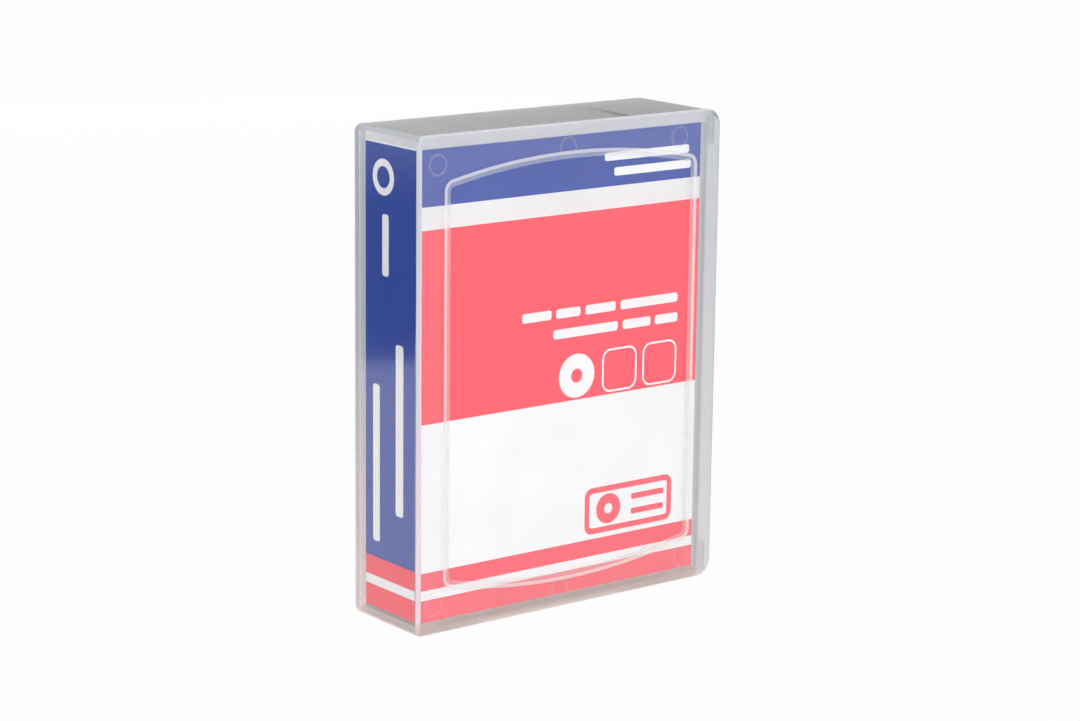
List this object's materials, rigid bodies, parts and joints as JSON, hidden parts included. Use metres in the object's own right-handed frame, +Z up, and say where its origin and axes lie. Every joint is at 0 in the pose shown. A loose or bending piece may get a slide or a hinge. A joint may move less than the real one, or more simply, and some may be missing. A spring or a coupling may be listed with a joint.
{
  "type": "removable disk cartridge in storage case",
  "caption": "Removable disk cartridge with a working drive inside, standing in a translucent book-style storage case with living hinges and printed cards.",
  "frame": {"origin": "middle of the case's footprint, on the surface it stands on", "axes": "+Z up the height of the case, +Y from the front cover to the back, +X from the spine to the opening edge"},
  "size_m": [0.1056, 0.0308, 0.138],
  "materials": {
    "case_plastic": "translucent, fine frosted",
    "front_print": "printed, satin",
    "spine_print": "printed, satin",
    "shell_plastic": "fine texture",
    "tab_plastic": "satin",
    "screw_steel": "satin",
    "board_green": "solder mask",
    "contact_gold": "polished",
    "socket_plastic": "satin",
    "flex_film": "film",
    "bumper_rubber": "matt",
    "deck_metal": "cast",
    "lid_steel": "brushed",
    "gasket_rubber": "matt",
    "disk_metal": "polished",
    "hub_metal": "turned",
    "coil_copper": "enamelled wire",
    "magnet_nickel": "plated",
    "ramp_plastic": "satin",
    "chip_plastic": "moulded"
  },
  "bodies": {
    "tray": {"case_tray": "case_plastic", "cartridge_front_shell": "shell_plastic", "cartridge_back_shell": "shell_plastic", "shell_screws": "screw_steel", "connector_board": "board_green", "contact_fingers": "contact_gold", "drive_socket": "socket_plastic", "flex_ribbon": "flex_film", "corner_bumpers": "bumper_rubber", "drive_deck": "deck_metal", "drive_cover": "lid_steel", "cover_gasket": "gasket_rubber", "cover_screws": "screw_steel", "motor_stator": "coil_copper", "pivot_post": "screw_steel", "voice_magnets": "magnet_nickel", "magnet_plate_lower": "magnet_nickel", "magnet_plate_upper": "magnet_nickel", "parking_ramp": "ramp_plastic", "drive_board": "board_green", "drive_chips": "chip_plastic", "drive_plug": "socket_plastic", "board_screws": "screw_steel"},
    "spine": {"case_spine": "case_plastic", "spine_insert": "spine_print"},
    "cover": {"case_cover": "case_plastic", "front_insert": "front_print"},
    "write_tab": {"write_protect_slider": "tab_plastic"},
    "disk_stack": {"spindle_hub": "hub_metal", "platter_lower": "disk_metal", "platter_spacer": "hub_metal", "platter_upper": "disk_metal", "platter_clamp": "hub_metal", "clamp_screw": "screw_steel"},
    "head_arm": {"actuator_arm": "hub_metal", "voice_coil": "coil_copper", "head_suspensions": "lid_steel"}
  },
  "joints": [
    {"name": "spine_hinge", "type": "hinge", "parent": "tray", "child": "spine", "pos_m": [-0.05227, 0.01487, 0], "axis": [0, 0, -1], "range_deg": [0, 90]},
    {"name": "cover_hinge", "type": "hinge", "parent": "spine", "child": "cover", "pos_m": [-0.05227, -0.01487, 0], "axis": [0, 0, -1], "range_deg": [0, 90]},
    {"name": "write_protect", "type": "slide", "parent": "tray", "child": "write_tab", "axis": [1, 0, 0], "range_m": [0, 0.0045]},
    {"name": "disk_spin", "type": "hinge", "parent": "tray", "child": "disk_stack", "pos_m": [-0.002, 0, 0.0873], "axis": [0, -1, 0], "continuous": true},
    {"name": "head_swing", "type": "hinge", "parent": "tray", "child": "head_arm", "pos_m": [0.012, 0, 0.0441], "axis": [0, 1, 0], "range_deg": [0, 30]}
  ]
}
